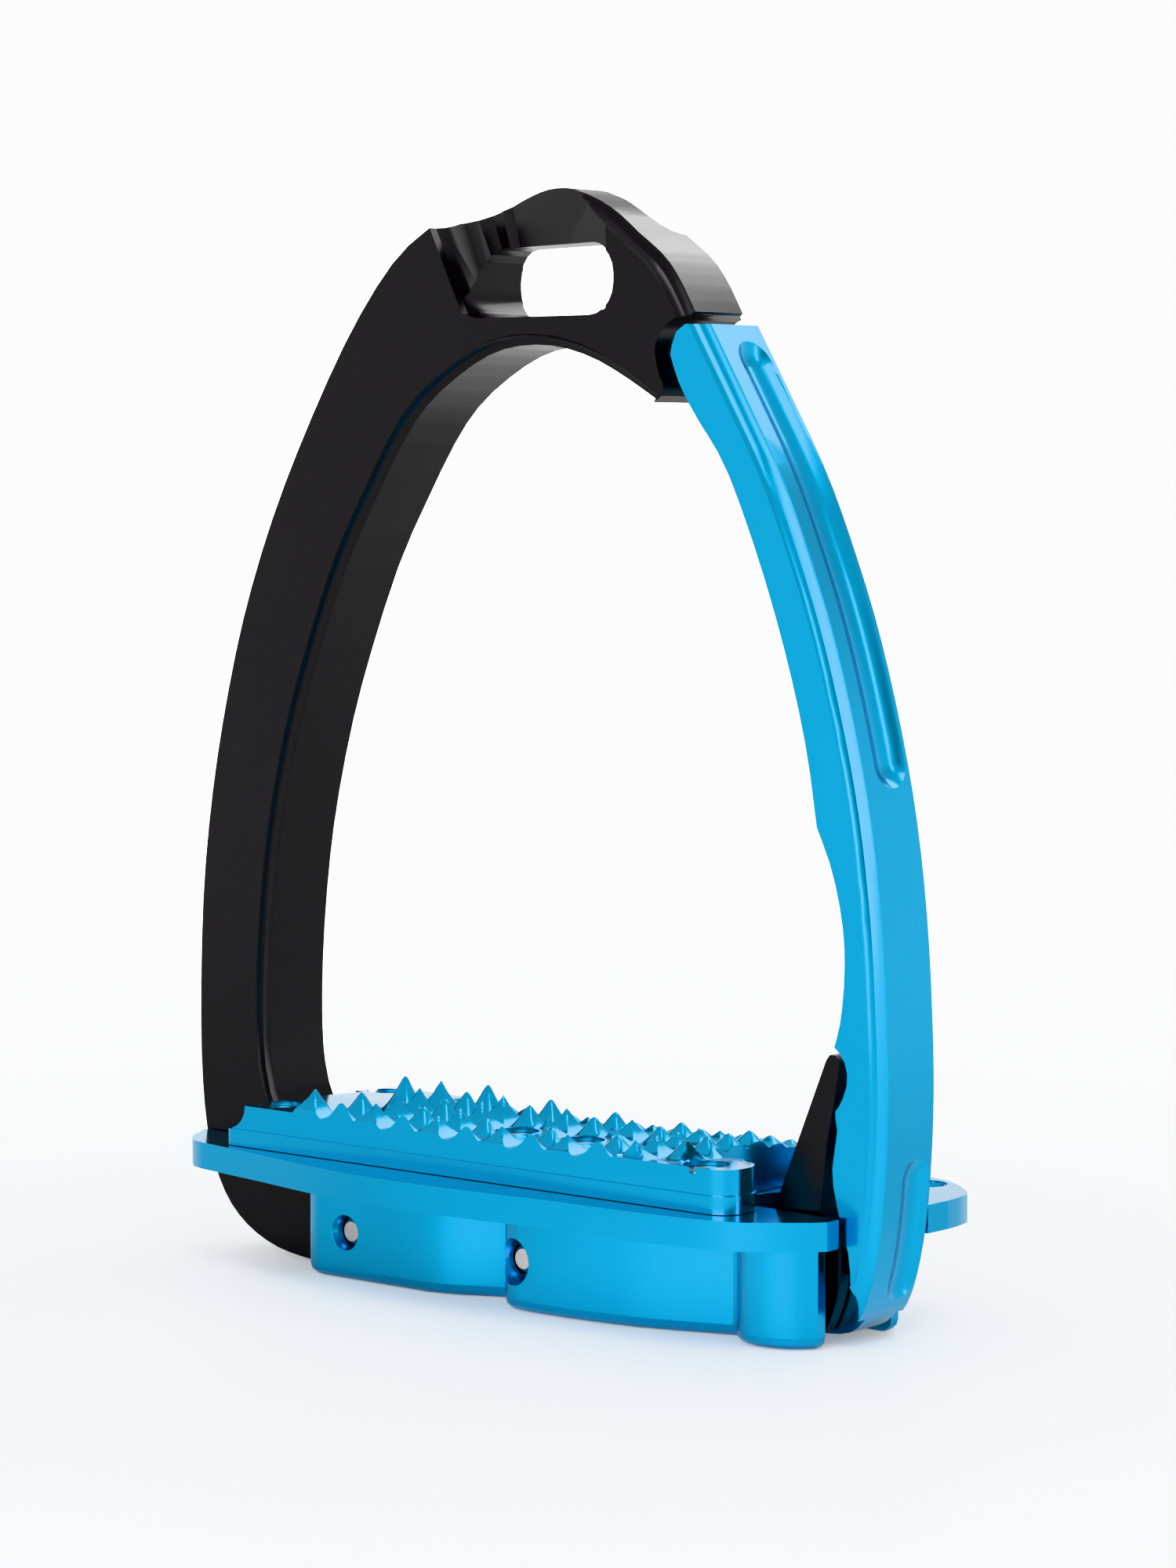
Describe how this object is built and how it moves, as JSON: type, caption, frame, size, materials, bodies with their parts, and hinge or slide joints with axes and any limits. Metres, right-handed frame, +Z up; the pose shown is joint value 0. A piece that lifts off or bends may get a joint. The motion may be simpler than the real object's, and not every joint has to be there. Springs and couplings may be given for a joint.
{
  "type": "safety stirrup iron",
  "caption": "Safety stirrup iron with a black arched frame, a blue side arm that swings out, a release lever and a spiked metal tread on a flat footbed.",
  "frame": {"origin": "on the underside of the base housing, halfway along the frame's width and in its middle plane from front to back", "axes": "+X towards the opening side arm, -Y the front that faces the picture's camera, +Z up towards the stirrup leather"},
  "size_m": [0.1322, 0.0534, 0.1624],
  "materials": {
    "black_anodised": "polished black anodising with a soft gloss",
    "blue_anodised": "bright blue anodising with a satin gloss",
    "steel": "ground stainless steel",
    "bronze": "plain sintered bronze"
  },
  "bodies": {
    "frame_body": {"frame": "black_anodised", "base_housing": "blue_anodised", "footbed_plate": "blue_anodised", "tread_plate": "blue_anodised", "arm_hinge_pin": "steel", "lever_pivot_pin": "steel", "dowel_left": "steel", "dowel_right": "steel", "plate_screw_front_left": "steel", "plate_screw_rear_left": "steel", "plate_screw_front_right": "steel", "plate_screw_rear_right": "steel", "tread_screw_front_left": "steel", "tread_screw_rear_left": "steel", "tread_screw_front_right": "steel", "tread_screw_rear_right": "steel", "tread_screw_middle_left": "steel", "tread_screw_middle_right": "steel", "latch_spring": "steel", "lever_spring": "steel"},
    "arm": {"safety_arm": "blue_anodised", "arm_hinge_bush": "bronze"},
    "lever": {"release_lever": "black_anodised"},
    "bolt": {"latch_bolt": "steel"}
  },
  "joints": [
    {"name": "arm_open", "type": "hinge", "parent": "frame_body", "child": "arm", "pos_m": [0.0535, 0, 0.0062], "axis": [0, 1, 0], "range_deg": [0, 100]},
    {"name": "lever_press", "type": "hinge", "parent": "frame_body", "child": "lever", "pos_m": [0.0385, 0, 0.0104], "axis": [0, 1, 0], "range_deg": [0, 6], "stiffness_Nm_per_rad": 0.5, "springref_deg": -1.15},
    {"name": "latch_slide", "type": "slide", "parent": "frame_body", "child": "bolt", "axis": [1, 0, 0], "range_m": [-0.0006, 0]}
  ],
  "couplings": [
    {"joint": "latch_slide", "follows": "lever_press", "m_per_rad": -0.0054}
  ]
}
